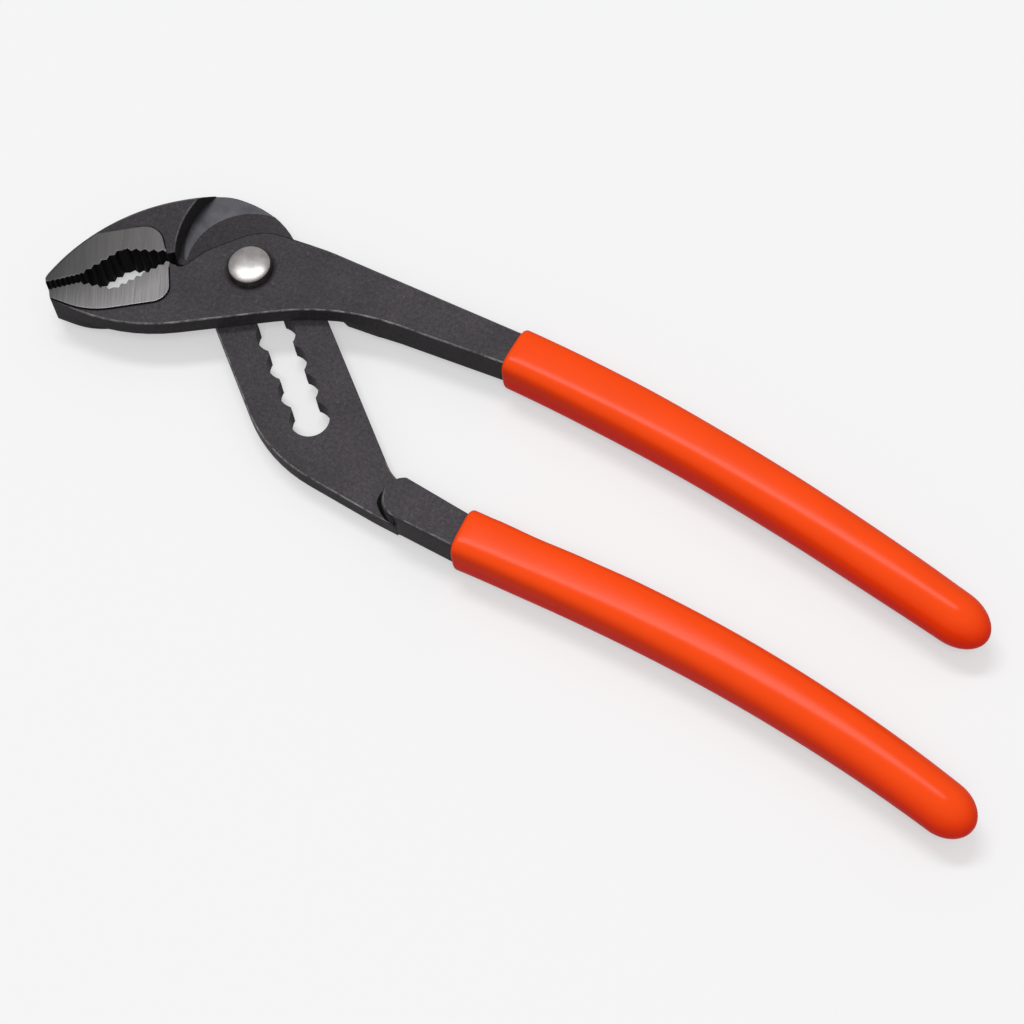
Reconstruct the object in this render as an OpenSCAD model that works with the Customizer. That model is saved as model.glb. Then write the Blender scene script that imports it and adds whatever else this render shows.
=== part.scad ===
// Water pump pliers with a notched slip joint: two lapped forged arms, a domed pivot bolt
// with its washer and nut, and two dipped grips over the handle tangs.
// The origin lies on the pivot axis, in the plane that the tool rests on. +X runs along the
// front arm to the handle ends, +Y to the upper jaw's side, +Z up through the bolt head.
// The pose has the bolt in the slot's first notch and the jaws all but closed.

/* [Steel arms] */
// Thickness of each of the two plates that lap at the pivot
plate_t = 5; // [4:0.1:7]
// Thickness of the handle shanks and of their tangs
shank_t = 9; // [7:0.1:10]
// Width of the shanks where they enter the grips
shank_w = 9.3; // [8:0.1:11]
// Width of the tangs at their far end
tang_end_w = 6; // [4:0.1:8]
// Length of the front shank from the pivot axis to its grip
front_shank_len = 69.6; // [62:0.2:90]
// Length of the rear shank from the slot's last notch to its grip
rear_shank_len = 48; // [44:0.1:70]
// Clearance between faces that slide on each other
run_gap = 0.05; // [0.02:0.01:0.1]

/* [Jaws] */
// Pitch of the coarse pipe teeth
coarse_pitch = 2.2; // [1.6:0.1:3]
// Depth of the coarse pipe teeth
coarse_depth = 0.75; // [0.4:0.05:1]
// Pitch of the fine teeth near the jaw tips
fine_pitch = 1.2; // [0.8:0.1:1.6]
// Depth of the fine teeth
fine_depth = 0.35; // [0.2:0.05:0.5]
// Rise of the ground side pads over the forged faces
pad_rise = 0.5; // [0.2:0.1:1]
// Step of the lower jaw's tooth block in from the rear face
block_step = 1; // [0:0.1:2]
// Radius of the upper jaw's back at the front face
jaw_back_r = 47.2; // [46.5:0.1:48.5]
// Slope of the jaw's back: how far it spreads from the front face to the lap
jaw_back_spread = 3.6; // [1:0.1:4]
// Radius of the pocket milled for the front arm's head
pocket_r = 25.1; // [24:0.1:25.8]
// Depth of the milled crescent beside the pocket wall
relief_depth = 0.25; // [0.1:0.05:0.6]
// Radius of the raised bearing face that the crescent runs round
bearing_r = 15.4; // [14:0.1:17]

/* [Slip joint] */
// Distance between neighbouring notches
notch_pitch = 8.6; // [8.2:0.1:9.4]
// Number of notches
notch_count = 6; // [4:1:8]
// Radius of each notch
notch_r = 4.85; // [4.5:0.05:5.2]
// Width of the slot between notches
neck_w = 6.4; // [5.4:0.1:7]
// Slope of the slot below the X axis in degrees
slot_slope = 45; // [43:0.5:47]
// Width of the slotted plate
slot_plate_w = 26.2; // [24:0.2:28]

/* [Pivot] */
// Clearance around the bolt's shank, in the notches and between the slot's sides
bolt_gap = 0.08; // [0.02:0.01:0.1]
// Clearance of a seated fit: bolt neck in the front arm, nut on the tail, grip on its tang
seat_gap = 0.02; // [0.01:0.01:0.05]
// Radius of the bolt head where it meets the front arm
head_r = 5.6; // [5.3:0.05:7]
// Radius of the bolt head at the rim of its dome
rim_r = 5.2; // [4.5:0.05:5.3]
// Height of the bolt head's side
head_rise = 2; // [1:0.1:3]
// Height of the dome over the rim
dome_rise = 0.8; // [0.4:0.1:2]
// Radius of the bolt's threaded tail
tail_r = 3; // [2:0.1:4]
// Radius of the washer
washer_r = 7.5; // [6.5:0.1:9]
// Thickness of the washer
washer_t = 0.8; // [0.5:0.1:1.5]
// Width of the nut across its flats
nut_flats = 10; // [9:0.1:13]
// Thickness of the nut
nut_t = 2.2; // [1.5:0.1:4]
// Depth of the bolt's tail below the nut's flat face
tail_sink = 0.3; // [0.1:0.1:0.8]

/* [Grips] */
// Length of the upper grip along its curve
upper_grip_len = 133.5; // [110:0.5:160]
// Length of the lower grip along its curve
lower_grip_len = 137; // [110:0.5:160]
// Wall of a grip around its tang at the mouth
grip_wall = 1.8; // [1.4:0.05:2.5]
// Extra half width at a grip's middle
grip_swell = 0.4; // [0:0.05:1.2]
// Half width lost towards a grip's end
grip_taper = 0.35; // [0:0.05:0.8]
// Length of the rounded end
grip_nose = 6; // [4:0.5:8]
// Rounding of a grip's mouth
grip_lip = 0.6; // [0.3:0.1:1]
// Slope of the upper grip below the X axis at its mouth, in degrees
upper_grip_slope = 5.5; // [2:0.25:8]
// Slope of the lower grip below the X axis at its mouth, in degrees
lower_grip_slope = 1.3; // [0:0.1:6]
// Bend radius of the upper handle's near half
upper_near_r = 500; // [350:10:900]
// Bend radius of the upper handle's far half
upper_far_r = 1120; // [500:10:3000]
// Bend radius of the lower handle's near half
lower_near_r = 505; // [350:10:900]
// Bend radius of the lower handle's far half
lower_far_r = 380; // [300:5:900]

/* [Hidden] */
$fn = 96;
arc_step = 5;
far = 300;
over = 0.5;

// Heights, from the resting plane up
z_washer = nut_t + run_gap;
z_rear = z_washer + washer_t + run_gap;
z_lap = z_rear + plate_t;
z_front_back = z_lap + run_gap;
z_front = z_lap + plate_t;
z_shank = z_front - shank_t;
z_mid = z_front - shank_t / 2;

// The slot: its direction, the normal towards the handles and the last notch
slot_dir = [cos(slot_slope), -sin(slot_slope)];
slot_norm = [sin(slot_slope), cos(slot_slope)];
slot_len = (notch_count - 1) * notch_pitch;
last_notch = slot_len * slot_dir;
slot_plate_half = slot_plate_w / 2;

// The bolt's shank runs in the notches, its flats between the slot's sides
shank_r = notch_r - bolt_gap;
flats_w = neck_w - 2 * bolt_gap;
bore_r = shank_r + seat_gap;

// Handles: mouth of the grip, slope there, bend radii of both halves and grip length
upper_mouth_rise = 3;
lower_mouth_drop = 16.1;
upper_mouth = [front_shank_len, upper_mouth_rise];
lower_mouth = last_notch + [rear_shank_len, -lower_mouth_drop];
upper_handle = [upper_mouth, upper_grip_slope, upper_near_r, upper_far_r, upper_grip_len];
lower_handle = [lower_mouth, lower_grip_slope, lower_near_r, lower_far_r, lower_grip_len];
// The vinyl past the tang's end, up to the rounded end
tang_cover = 4;
tang_stop = grip_nose + tang_cover;
tang_steps = 12;
grip_half_w = shank_w / 2 + grip_wall;
grip_half_h = shank_t / 2 + grip_wall;
// A grip's section runs from a squarish oval at the mouth to a plain oval at the end
mouth_power = 4;
end_power = 2;
ring_points = 28;
ring_count = 26;
straight_rings = 16;
nose_sweep = 84;

// Lower jaw: tip, end of the fine teeth, bottom of the V and heel
lower_tip = [-44.2, -23.7];
lower_fine_end = [-37.7, -18.9];
lower_v = [-29.2, -17.4];
lower_heel = [-20.6, -5.8];
lower_tip_low = [-42.6, -26.1];
tip_r = 0.8;
// Upper jaw: the same points
upper_tip = [-45.8, -22.4];
upper_fine_end = [-38.1, -16.6];
upper_v = [-32.2, -7.1];
upper_heel = [-21.5, -3.6];
upper_heel_end = [-20, -2.5];
heel_r = 0.3;
throat_r = 3;
// Outline points as x, y and corner radius. Front arm: lower edge, upper edge, head and throat
front_low = [-22, -27.05, 46];
front_waist = [24.6, -1.3, 62];
front_top = [15.5, 11.9, 60];
front_head = [-2.5, 11.6, 13];
front_throat = [-13, 0.8, 15];
front_heel = [-16.4, -5.8, 2.6];
// Lower jaw's tooth block: lower edge, back and top
block_low = [-32.1, -26.15, 20];
block_back = [-14.3, -15.4, 4.6];
block_top = [-19.6, -5.8, 0.3];
// Rear arm: head, then the jaw's back down to the tip
rear_head = [-19.5, 20.3, 14];
jaw_back_high = [-36.4, 3, 60];
jaw_back_low = [-45.4, -11.4, 30];
jaw_nose = [-47.6, -19.5, 2.5];
// Upper jaw's pad: its inner corner, and its width past the jaw's back
pad_corner = [-27, 3.8, 5.6];
pad_reach = 9;
// Centres of the jaw's back, of the milled pocket and of the bearing face
jaw_back_at = [0, -28];
pocket_at = [2.8, 8.3];
bearing_at = [-3.5, 3];
// Inner end of the upper jaw's front half, its pad's step in from the back, end of the crescent
jaw_root_x = -15;
pad_inset = 0.2;
relief_low = -1;
// Top of the rear arm's head, how far the plate's edges run past the last notch, and the corners
head_top = 20;
head_corner_r = 26;
plate_low_run = 4.4;
plate_low_r = 40;
plate_high_run = 23.3;
plate_high_r = 12;
shank_bend = last_notch + [25.6, -17.9];
shank_bend_r = 60;
// Start and lower edge of the front shank's rear half, clear of the slotted plate
full_shank_y = -1.7;
full_shank_gap = 3.3;
full_shank_x = plate_edge(slot_plate_half, full_shank_y) + full_shank_gap;
// Nose of the rear shank's raised face and its radius
nose_at = last_notch + [31.9, -13.25];
nose_r = 5.4;

// Where a line along the slot, offset by d, crosses the height y
function plate_edge(d, y) = (d - y * slot_norm.y) / slot_norm.x;
function unit(v) = v / norm(v);
function xy(p) = [p.x, p.y];
function turned(v, a) = [v.x * cos(a) - v.y * sin(a), v.x * sin(a) + v.y * cos(a)];
function sharp(pts) = [for (p = pts) [p.x, p.y, 0]];

// Points of one rounded corner: b is [x, y, radius] between its neighbours a and c
function corner(a, b, c) =
    let (
        u = unit(xy(a) - xy(b)),
        v = unit(xy(c) - xy(b)),
        half = acos(u * v) / 2,
        sweep = 180 - 2 * half,
        side = sign(u.x * v.y - u.y * v.x),
        steps = max(2, ceil(sweep / arc_step)),
        centre = xy(b) + unit(u + v) * b[2] / sin(half),
        start = xy(b) + u * b[2] / tan(half) - centre
    )
    b[2] == 0 ? [xy(b)] : [for (i = [0:steps]) centre + turned(start, -side * sweep * i / steps)];

function rounded(pts) =
    let (n = len(pts))
    [for (i = [0:n - 1]) each corner(pts[(i + n - 1) % n], pts[i], pts[(i + 1) % n])];

// Saw teeth from a towards b, crests on the line and roots on its left by depth
function teeth(a, b, pitch, depth) =
    let (
        n = round(norm(b - a) / pitch),
        step = (b - a) / n,
        root = turned(unit(step), 90) * depth
    )
    [for (i = [0:n - 1]) each [a + i * step, a + (i + 0.5) * step + root]];

// Centre line of a handle from its grip's mouth: two arcs that bend down, s along the curve
function turn(r, s) = s / r * 180 / PI;
function on_arc(at, slope, r, s) =
    at + r * [sin(slope + turn(r, s)) - sin(slope), cos(slope + turn(r, s)) - cos(slope)];
function slope_at(h, s) =
    let (mid = h[4] / 2)
    h[1] + turn(h[2], min(s, mid)) + turn(h[3], max(s - mid, 0));
function along(h, s) =
    let (mid = h[4] / 2, joint = on_arc(h[0], h[1], h[2], mid))
    s <= mid ? on_arc(h[0], h[1], h[2], s) : on_arc(joint, slope_at(h, mid), h[3], s - mid);
function across(h, s) = [sin(slope_at(h, s)), cos(slope_at(h, s))];

// Edge of a tang, side +1 on its upper edge, spread by extra
function tang_edge(h, side, extra) =
    [for (i = [0:tang_steps])
        let (
            s = (h[4] - tang_stop) * i / tang_steps,
            w = shank_w + (tang_end_w - shank_w) * i / tang_steps
        )
        along(h, s) + side * (w / 2 + extra) * across(h, s)];

function flipped(pts) = [for (i = [len(pts) - 1:-1:0]) pts[i]];

front_teeth = concat(
    teeth(lower_heel, lower_v, coarse_pitch, coarse_depth),
    teeth(lower_v, lower_fine_end, coarse_pitch, coarse_depth),
    teeth(lower_fine_end, lower_tip, fine_pitch, fine_depth),
    [lower_tip]
);
rear_teeth = concat(
    teeth(upper_tip, upper_fine_end, fine_pitch, fine_depth),
    teeth(upper_fine_end, upper_v, coarse_pitch, coarse_depth),
    teeth(upper_v, upper_heel, coarse_pitch, coarse_depth),
    [upper_heel]
);

// Front arm: lower edge, tang, upper edge, head, throat, then the teeth back to the tip
module front_outline() {
    polygon(rounded(concat(
        [
            [lower_tip_low.x, lower_tip_low.y, tip_r],
            front_low,
            front_waist
        ],
        sharp(tang_edge(upper_handle, -1, 0)),
        sharp(flipped(tang_edge(upper_handle, 1, 0))),
        [
            front_top,
            front_head,
            front_throat,
            front_heel
        ],
        sharp(front_teeth)
    )));
}

// Lower jaw's full-depth tooth block with its ground side
module lower_block_outline() {
    polygon(rounded(concat(
        [
            [lower_tip_low.x, lower_tip_low.y, tip_r],
            block_low,
            block_back,
            block_top
        ],
        sharp(front_teeth)
    )));
}

// Rear arm: teeth, throat, slotted plate, tang, plate's other side, head and jaw's back
module rear_outline() {
    plate_low = last_notch + plate_low_run * slot_dir - slot_plate_half * slot_norm;
    plate_high = last_notch + plate_high_run * slot_dir + slot_plate_half * slot_norm;
    polygon(rounded(concat(
        sharp(rear_teeth),
        [
            [upper_heel_end.x, upper_heel_end.y, heel_r],
            [plate_edge(-slot_plate_half, upper_heel_end.y), upper_heel_end.y, throat_r],
            [plate_low.x, plate_low.y, plate_low_r],
            [shank_bend.x, shank_bend.y, shank_bend_r]
        ],
        sharp(tang_edge(lower_handle, -1, 0)),
        sharp(flipped(tang_edge(lower_handle, 1, 0))),
        [
            [plate_high.x, plate_high.y, plate_high_r],
            [plate_edge(slot_plate_half, head_top), head_top, head_corner_r],
            rear_head,
            jaw_back_high,
            jaw_back_low,
            jaw_nose
        ]
    )));
}

// Upper jaw's ground side pad, bounded by the teeth and the jaw's back
module upper_pad_outline() {
    intersection() {
        rear_outline();
        translate(jaw_back_at) circle(r = jaw_back_r - pad_inset);
        polygon(rounded([
            [upper_heel.x, upper_tip.y - pad_reach, 0],
            [upper_heel.x, upper_heel.y, 0],
            pad_corner,
            [upper_tip.x - pad_reach, upper_tip.y + pad_reach, 0],
            [upper_tip.x - pad_reach, upper_tip.y - pad_reach, 0]
        ]));
    }
}

// A grip's solid outside: rounded boxes along the bend, closing to a round end
function grip_size(h, s) =
    let (
        u = s / h[4],
        nose = max(0, (s - h[4] + grip_nose) / grip_nose),
        close = sqrt(1 - nose * nose),
        lip = max(0, grip_lip - s)
    )
    [
        close * (grip_half_w + grip_swell * sin(180 * u) - grip_taper * u) - lip,
        close * (grip_half_h + grip_swell / 2 * sin(180 * u)) - lip,
        mouth_power + (end_power - mouth_power) * u
    ];
function power(v, e) = sign(v) * pow(abs(v), e);
function grip_ring(h, s) =
    let (size = grip_size(h, s), n = across(h, s))
    [for (j = [0:ring_points - 1])
        let (
            t = 360 * j / ring_points,
            q = along(h, s) + n * size[0] * power(cos(t), 2 / size[2])
        )
        [q.x, q.y, z_mid + size[1] * power(sin(t), 2 / size[2])]];
function ring_place(h, i) =
    let (
        straight = h[4] - grip_nose - grip_lip,
        nose_turn = nose_sweep * (i - straight_rings) / (ring_count - 1 - straight_rings)
    )
    i == 0 ? -grip_lip
    : i <= straight_rings ? grip_lip + straight * (i - 1) / (straight_rings - 1)
    : h[4] - grip_nose + grip_nose * sin(nose_turn);

module grip_outside(h) {
    rings = [for (i = [0:ring_count - 1]) each grip_ring(h, ring_place(h, i))];
    last = (ring_count - 1) * ring_points;
    sides = [for (i = [0:ring_count - 2]) for (j = [0:ring_points - 1])
        let (a = i * ring_points + j, b = i * ring_points + (j + 1) % ring_points)
        each [[a, a + ring_points, b], [b, a + ring_points, b + ring_points]]];
    mouth = [for (j = [0:ring_points - 1]) j];
    tip = [for (j = [ring_points - 1:-1:0]) last + j];
    polyhedron(rings, concat(sides, [mouth, tip]));
}

// A grip, cut square at its mouth and hollow for its tang
module grip(h) {
    side = across(h, 0);
    before = h[0] - over * [side.y, -side.x];
    tang_end = h[4] - tang_stop + seat_gap;
    end_half = tang_end_w / 2 * across(h, tang_end);
    difference() {
        grip_outside(h);
        translate([h[0].x, h[0].y, 0]) rotate([0, 0, -h[1]]) translate([-far, -far / 2, 0]) cube(far);
        translate([0, 0, z_shank - seat_gap])
            linear_extrude(shank_t + 2 * seat_gap)
            polygon(concat(
                [before - (shank_w / 2 + seat_gap) * side],
                tang_edge(h, -1, seat_gap),
                [along(h, tang_end) - end_half, along(h, tang_end) + end_half],
                flipped(tang_edge(h, 1, seat_gap)),
                [before + (shank_w / 2 + seat_gap) * side]
            ));
    }
}

// Lower jaw, pivot plate and upper handle in one forging
module front_arm() {
    color("dimgray") difference() {
        union() {
            translate([0, 0, z_front_back]) linear_extrude(z_front - z_front_back) front_outline();
            translate([0, 0, z_shank]) linear_extrude(shank_t) intersection() {
                front_outline();
                union() {
                    translate([full_shank_x, full_shank_y]) square(far);
                    translate([front_shank_len - shank_w, -far / 2]) square(far);
                }
            }
            translate([0, 0, z_rear + block_step])
                linear_extrude(2 * plate_t + pad_rise - block_step) lower_block_outline();
        }
        translate([0, 0, z_rear]) cylinder(r = bore_r, h = 3 * plate_t);
    }
}

// Upper jaw, slotted plate and lower handle in one forging
module rear_arm() {
    color("dimgray") difference() {
        union() {
            translate([0, 0, z_rear]) linear_extrude(plate_t) intersection() {
                rear_outline();
                translate([nose_at.x - far, -far / 2]) square(far);
            }
            translate([0, 0, z_shank]) linear_extrude(shank_t) intersection() {
                rear_outline();
                union() {
                    translate([nose_at.x, -far / 2]) square(far);
                    translate(nose_at) circle(r = nose_r);
                }
            }
            difference() {
                intersection() {
                    translate([0, 0, z_lap - over]) linear_extrude(plate_t + over) intersection() {
                        rear_outline();
                        translate([jaw_root_x - far, -far / 2]) square(far);
                    }
                    translate([jaw_back_at.x, jaw_back_at.y, z_lap])
                        cylinder(r1 = jaw_back_r + jaw_back_spread, r2 = jaw_back_r, h = plate_t);
                }
                translate([pocket_at.x, pocket_at.y, z_lap - 2 * over])
                    cylinder(r = pocket_r, h = 2 * plate_t);
            }
            translate([0, 0, z_lap]) linear_extrude(plate_t + pad_rise) upper_pad_outline();
        }
        slot();
        relief();
    }
}

// Notches and the straight neck that joins them
module slot() {
    rotate([0, 0, -slot_slope]) translate([0, 0, z_rear - over]) {
        for (i = [0:notch_count - 1])
            translate([i * notch_pitch, 0, 0]) cylinder(r = notch_r, h = plate_t + 2 * over);
        translate([0, -neck_w / 2, 0]) cube([slot_len, neck_w, plate_t + 2 * over]);
    }
}

// Shallow milled crescent between the pocket's wall and the bearing face
module relief() {
    translate([0, 0, z_lap - relief_depth]) linear_extrude(relief_depth + over) difference() {
        translate(pocket_at) circle(r = pocket_r);
        translate(bearing_at) circle(r = bearing_r);
        translate([-far / 2, relief_low - far]) square(far);
        translate([bearing_at.x, -far / 2]) square(far);
    }
}

// Bolt: domed head, round neck in the front arm, flatted shank in the slot, round tail
module pivot_bolt() {
    dome_r = (rim_r * rim_r + dome_rise * dome_rise) / (2 * dome_rise);
    z_rim = z_front + head_rise;
    color("silver") {
        translate([0, 0, z_front]) cylinder(r1 = head_r, r2 = rim_r, h = head_rise);
        intersection() {
            translate([0, 0, z_rim + dome_rise - dome_r]) sphere(r = dome_r);
            translate([0, 0, z_rim - over]) cylinder(r = rim_r, h = dome_rise + 2 * over);
        }
        translate([0, 0, z_front_back]) cylinder(r = shank_r, h = z_front + over - z_front_back);
        rotate([0, 0, -slot_slope]) translate([0, 0, z_rear]) intersection() {
            cylinder(r = shank_r, h = plate_t + over);
            translate([-shank_r, -flats_w / 2, 0]) cube([2 * shank_r, flats_w, plate_t + over]);
        }
        translate([0, 0, tail_sink]) cylinder(r = tail_r, h = z_rear + over - tail_sink);
    }
}

module pivot_washer() {
    color("gray") translate([0, 0, z_washer]) difference() {
        cylinder(r = washer_r, h = washer_t);
        translate([0, 0, -over]) cylinder(r = tail_r + bolt_gap, h = washer_t + 2 * over);
    }
}

module pivot_nut() {
    color("gray") difference() {
        cylinder(r = nut_flats / 2 / cos(30), h = nut_t, $fn = 6);
        translate([0, 0, -over]) cylinder(r = tail_r + seat_gap, h = nut_t + 2 * over);
    }
}

module upper_grip() {
    color("orangered") grip(upper_handle);
}

module lower_grip() {
    color("orangered") grip(lower_handle);
}

front_arm();
rear_arm();
pivot_bolt();
pivot_washer();
pivot_nut();
upper_grip();
lower_grip();
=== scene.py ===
import math

import bmesh
import bpy
from mathutils import Matrix, Vector


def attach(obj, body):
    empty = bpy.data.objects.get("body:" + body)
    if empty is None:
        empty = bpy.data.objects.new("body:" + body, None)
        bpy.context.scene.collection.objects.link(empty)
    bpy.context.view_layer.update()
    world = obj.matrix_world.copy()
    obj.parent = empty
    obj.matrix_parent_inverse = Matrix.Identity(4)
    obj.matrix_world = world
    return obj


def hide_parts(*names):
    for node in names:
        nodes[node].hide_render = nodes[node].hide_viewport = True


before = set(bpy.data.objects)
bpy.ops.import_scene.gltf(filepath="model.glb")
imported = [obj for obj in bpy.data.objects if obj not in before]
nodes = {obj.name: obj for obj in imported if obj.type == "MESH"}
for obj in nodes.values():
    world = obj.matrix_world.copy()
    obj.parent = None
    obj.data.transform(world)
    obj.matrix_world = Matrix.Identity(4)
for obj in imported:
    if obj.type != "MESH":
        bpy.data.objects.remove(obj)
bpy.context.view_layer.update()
scene = bpy.context.scene
mm = 0.001
print("frame loaded:", ", ".join(sorted(nodes)))


# selection and mesh helpers
joining = {"doubles": 0.002, "flat": 0.5}  # mm, and degrees between faces that are one
flatLimit = 0.95  # a face is flat when its normal is this upright
wallLimit = 0.3  # and a wall when it is less upright than this
edgeRoom = 0.05  # mm that an edge may lie under a level and still belong to it
faceRoom = 0.02


def clearSelection():
    if bpy.context.object and bpy.context.object.mode != "OBJECT":
        bpy.ops.object.mode_set(mode="OBJECT")
    bpy.ops.object.select_all(action="DESELECT")


def pick(piece):
    clearSelection()
    piece.select_set(True)
    bpy.context.view_layer.objects.active = piece


def copyOfNode(nodeName, pieceName, joinFlat=True):
    piece = bpy.data.objects.new(pieceName, nodes[nodeName].data.copy())
    scene.collection.objects.link(piece)
    piece.data.materials.clear()
    pick(piece)
    bpy.ops.mesh.customdata_custom_splitnormals_clear()
    bpy.ops.object.mode_set(mode="EDIT")
    bpy.ops.mesh.select_all(action="SELECT")
    bpy.ops.mesh.remove_doubles(threshold=joining["doubles"] * mm)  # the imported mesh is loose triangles
    if joinFlat:
        bpy.ops.mesh.dissolve_limited(angle_limit=math.radians(joining["flat"]))
    bpy.ops.object.mode_set(mode="OBJECT")
    return piece


def isFlat(face):
    return abs(face.normal.z) > flatLimit


def flatBeside(edge):
    return next(face for face in edge.link_faces if isFlat(face))


def nearestOn(point, a, b):
    along = b - a
    share = (point - a).dot(along) / max(along.length_squared, 1e-15)
    return a + along * max(0, min(1, share))


softening = {
    "sharp": 20,  # degrees between two faces, from which their edge is rounded
    "longEdge": 3.0,
    "endPiece": 1.2,  # a round that fades out does so over such a piece at a long edge's end
    "sameFlat": 0.999,
    "spread": 0.12,  # corners sharper than this stay square
    "guide": 0.5,  # a wall's own edge leads the round down when it is this upright
    "guideShare": 0.55,
    "facing": 0.5,
    "gapReach": 3,
    "gapShare": 0.42,  # of the way to the next rim of the same face
    "leastBend": 0.01,
    "bendShare": 0.85,
    "growth": 0.5,  # how fast a round may widen along its edge
    "repeats": 60,
    "least": 0.004,
}


def softenEdges(piece, widthOf, steps, edgeMaterial):
    # rounds the edges of flat faces; each corner has its own width, so narrow strips stay open
    look = softening
    mesh = bmesh.new()
    mesh.from_mesh(piece.data)
    wanted, ratio = {}, {}
    for edge in mesh.edges:
        if len(edge.link_faces) != 2 or edge.calc_face_angle(0) < math.radians(look["sharp"]):
            continue
        if sum(isFlat(face) for face in edge.link_faces) == 1:
            width = widthOf((edge.verts[0].co + edge.verts[1].co) / 2 / mm, edge.is_convex)
            along, drop = width if isinstance(width, tuple) else (width, width)
            if along > 0:
                wanted[edge] = along * mm
                ratio[edge] = drop / along
    for edge in list(wanted):
        parts = [edge]
        for vertex in list(edge.verts):
            part = next(each for each in parts if vertex in each.verts)
            if part.calc_length() > look["longEdge"] * mm:
                added = bmesh.utils.edge_split(part, vertex, look["endPiece"] * mm / part.calc_length())[0]
                wanted[added], ratio[added] = wanted[edge], ratio[edge]
                parts.append(added)
    corners = {}
    for edge in wanted:
        for vertex in edge.verts:
            corners.setdefault(vertex, []).append(edge)
    size, inward, downward, level, bend = {}, {}, {}, {}, {}
    for vertex, edges in corners.items():
        top = flatBeside(edges[0])
        up = top.normal.copy()
        flats = level[vertex] = [face for face in vertex.link_faces if face.normal.dot(up) > look["sameFlat"]]
        rim = {each for each in vertex.link_edges if sum(face in flats for face in each.link_faces) == 1}
        size[vertex], bend[vertex] = 0, 0
        inward[vertex] = downward[vertex] = Vector((0, 0, 0))
        if len(edges) != 2 or rim != set(edges) or edges[0].is_convex != edges[1].is_convex:
            continue
        sides, runs = [], {}
        for edge in edges:
            loop = next(each for each in flatBeside(edge).loops if each.edge == edge)
            run = (loop.link_loop_next.vert.co - loop.vert.co).normalized()
            sides.append(up.cross(run))
            runs[loop.vert == vertex] = run
        spread = 1 + sides[0].dot(sides[1])
        if spread < look["spread"] or len(runs) != 2:
            continue
        inward[vertex] = (sides[0] + sides[1]) / spread
        tilt = math.sqrt(max(inward[vertex].length_squared - 1, 0))
        bend[vertex] = math.copysign(tilt, runs[False].cross(runs[True]).dot(up))
        size[vertex] = min(wanted[edge] for edge in edges)
        way = -up if edges[0].is_convex else up
        guides = [each for each in vertex.link_edges if not set(each.link_faces) & set(flats)]
        guides = [(each.other_vert(vertex).co - vertex.co) for each in guides]
        guides = sorted(guides, key=lambda each: -each.normalized().dot(way))
        if guides and guides[0].normalized().dot(way) > look["guide"]:
            downward[vertex] = guides[0].normalized()
            room = look["guideShare"] * guides[0].length / min(ratio[edge] for edge in edges)
            size[vertex] = min(size[vertex], room)
        else:
            wall = next(face for face in edges[0].link_faces if face not in flats)
            downward[vertex] = (way - wall.normal * way.dot(wall.normal)).normalized()
        downward[vertex] = downward[vertex] * min(ratio[edge] for edge in edges)
        for face in flats:
            for each in face.edges:
                if vertex in each.verts or sum(near in flats for near in each.link_faces) != 1:
                    continue
                across = nearestOn(vertex.co, each.verts[0].co, each.verts[1].co) - vertex.co
                gap = across.length
                ahead = across.dot(inward[vertex].normalized()) > look["facing"] * gap
                if ahead and gap < look["gapReach"] * size[vertex]:
                    size[vertex] = min(size[vertex], look["gapShare"] * gap)
    for edge in wanted:
        a, b = edge.verts
        shrink = bend[a] + bend[b]
        if shrink > look["leastBend"]:
            room = look["bendShare"] * edge.calc_length() / shrink
            size[a], size[b] = min(size[a], room), min(size[b], room)
    for repeat in range(look["repeats"]):
        for edge in wanted:
            a, b = edge.verts
            reach = look["growth"] * edge.calc_length()
            size[a], size[b] = min(size[a], size[b] + reach), min(size[b], size[a] + reach)
    rings, lowered = {}, {}
    for vertex in corners:
        if size[vertex] < look["least"] * mm:
            rings[vertex] = [vertex] * (steps + 1)
            continue
        rings[vertex] = [vertex]
        for step in range(1, steps + 1):
            turn = math.pi / 2 * step / steps
            drop = downward[vertex] * (1 - math.sin(turn)) + inward[vertex] * (1 - math.cos(turn))
            rings[vertex].append(mesh.verts.new(vertex.co + drop * size[vertex]))
        lowered[vertex] = vertex.co + downward[vertex] * size[vertex]
    old = {}
    for vertex in lowered:
        for face in level[vertex]:
            old[face] = True
    strips = []
    for edge in wanted:
        loop = next(each for each in flatBeside(edge).loops if each.edge == edge)
        wall = next(face for face in edge.link_faces if face != loop.face)
        middle = (edge.verts[0].co + edge.verts[1].co) / 2 / mm
        finish = [edgeMaterial(middle, wall.normal, step) for step in range(steps)]
        strips.append((loop.vert, loop.link_loop_next.vert, finish))
    for face in old:
        swapped = [rings[each][-1] if each in rings and face in level[each] else each for each in face.verts]
        mesh.faces.new(swapped).material_index = face.material_index
    for a, b, finish in strips:
        for step in range(steps):
            loop = []
            for vertex in (rings[a][step], rings[b][step], rings[b][step + 1], rings[a][step + 1]):
                if vertex not in loop:
                    loop.append(vertex)
            if len(loop) > 2:
                mesh.faces.new(loop).material_index = finish[step]
    bmesh.ops.delete(mesh, geom=list(old), context="FACES")
    for vertex, place in lowered.items():
        vertex.co = place
    mesh.normal_update()
    mesh.to_mesh(piece.data)
    mesh.free()


def roundEdges(piece, width, segments, sharp):
    pick(piece)
    bevel = piece.modifiers.new("edges", "BEVEL")
    bevel.limit_method = "ANGLE"
    bevel.angle_limit = math.radians(sharp)
    bevel.width = width * mm
    bevel.segments = segments
    bpy.ops.object.modifier_apply(modifier="edges")


def smoothFaces(piece, angle=36):
    pick(piece)
    bpy.ops.object.shade_smooth_by_angle(angle=math.radians(angle))
    weighted = piece.modifiers.new("normals", "WEIGHTED_NORMAL")
    weighted.keep_sharp = True
    bpy.ops.object.modifier_apply(modifier="normals")


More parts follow.
